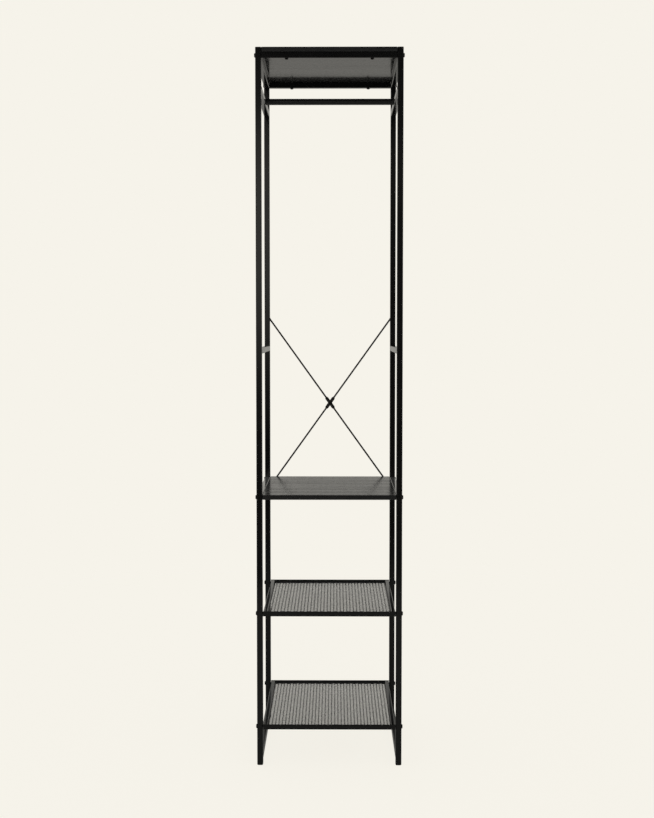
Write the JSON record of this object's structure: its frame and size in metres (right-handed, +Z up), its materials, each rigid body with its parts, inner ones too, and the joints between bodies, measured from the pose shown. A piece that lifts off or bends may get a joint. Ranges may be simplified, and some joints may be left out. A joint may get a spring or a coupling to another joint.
{
  "type": "coat stand",
  "caption": "Slim square-tube coat stand with a hanging rail, top board, shelf board, mesh shoe shelves and a crossed back brace.",
  "frame": {"origin": "on the floor, under the centre of the bounding box", "axes": "+Z up, -Y is the open front, -X is the left side as seen from the front"},
  "size_m": [0.3758, 0.4056, 1.82],
  "materials": {
    "coated_steel": "satin black powder coat",
    "brace_steel": "satin black powder coat",
    "grained_board": "black wood-grain foil, semi-gloss",
    "plastic": "matt black",
    "screw_steel": "black oxide"
  },
  "bodies": {
    "root": {"board_screw_left_front": "screw_steel", "board_screw_left_rear": "screw_steel", "board_screw_right_front": "screw_steel", "board_screw_right_rear": "screw_steel", "brace_rivet": "screw_steel", "brace_rod_rising_left": "brace_steel", "brace_rod_rising_right": "brace_steel", "brace_screw_left_lower": "screw_steel", "brace_screw_left_upper": "screw_steel", "brace_screw_right_lower": "screw_steel", "brace_screw_right_upper": "screw_steel", "hanging_rail": "coated_steel", "left_floor_bar": "coated_steel", "left_front_cap": "plastic", "left_front_foot": "plastic", "left_front_lower_post": "coated_steel", "left_front_upper_post": "coated_steel", "left_middle_bar": "coated_steel", "left_rail_bar": "coated_steel", "left_rear_cap": "plastic", "left_rear_foot": "plastic", "left_rear_lower_post": "coated_steel", "left_rear_upper_post": "coated_steel", "left_top_bar": "coated_steel", "lower_mesh_shelf": "coated_steel", "lower_shelf_screw_left_front": "screw_steel", "lower_shelf_screw_left_rear": "screw_steel", "lower_shelf_screw_right_front": "screw_steel", "lower_shelf_screw_right_rear": "screw_steel", "rail_screw_left": "screw_steel", "rail_screw_right": "screw_steel", "right_floor_bar": "coated_steel", "right_front_cap": "plastic", "right_front_foot": "plastic", "right_front_lower_post": "coated_steel", "right_front_upper_post": "coated_steel", "right_middle_bar": "coated_steel", "right_rail_bar": "coated_steel", "right_rear_cap": "plastic", "right_rear_foot": "plastic", "right_rear_lower_post": "coated_steel", "right_rear_upper_post": "coated_steel", "right_top_bar": "coated_steel", "shelf_board": "grained_board", "shelf_board_screw_left_front": "screw_steel", "shelf_board_screw_left_rear": "screw_steel", "shelf_board_screw_right_front": "screw_steel", "shelf_board_screw_right_rear": "screw_steel", "top_board": "grained_board", "top_front_tube": "coated_steel", "top_rear_tube": "coated_steel", "top_tube_screw_left_front": "screw_steel", "top_tube_screw_left_rear": "screw_steel", "top_tube_screw_right_front": "screw_steel", "top_tube_screw_right_rear": "screw_steel", "upper_mesh_shelf": "coated_steel", "upper_shelf_screw_left_front": "screw_steel", "upper_shelf_screw_left_rear": "screw_steel", "upper_shelf_screw_right_front": "screw_steel", "upper_shelf_screw_right_rear": "screw_steel"}
  },
  "joints": []
}
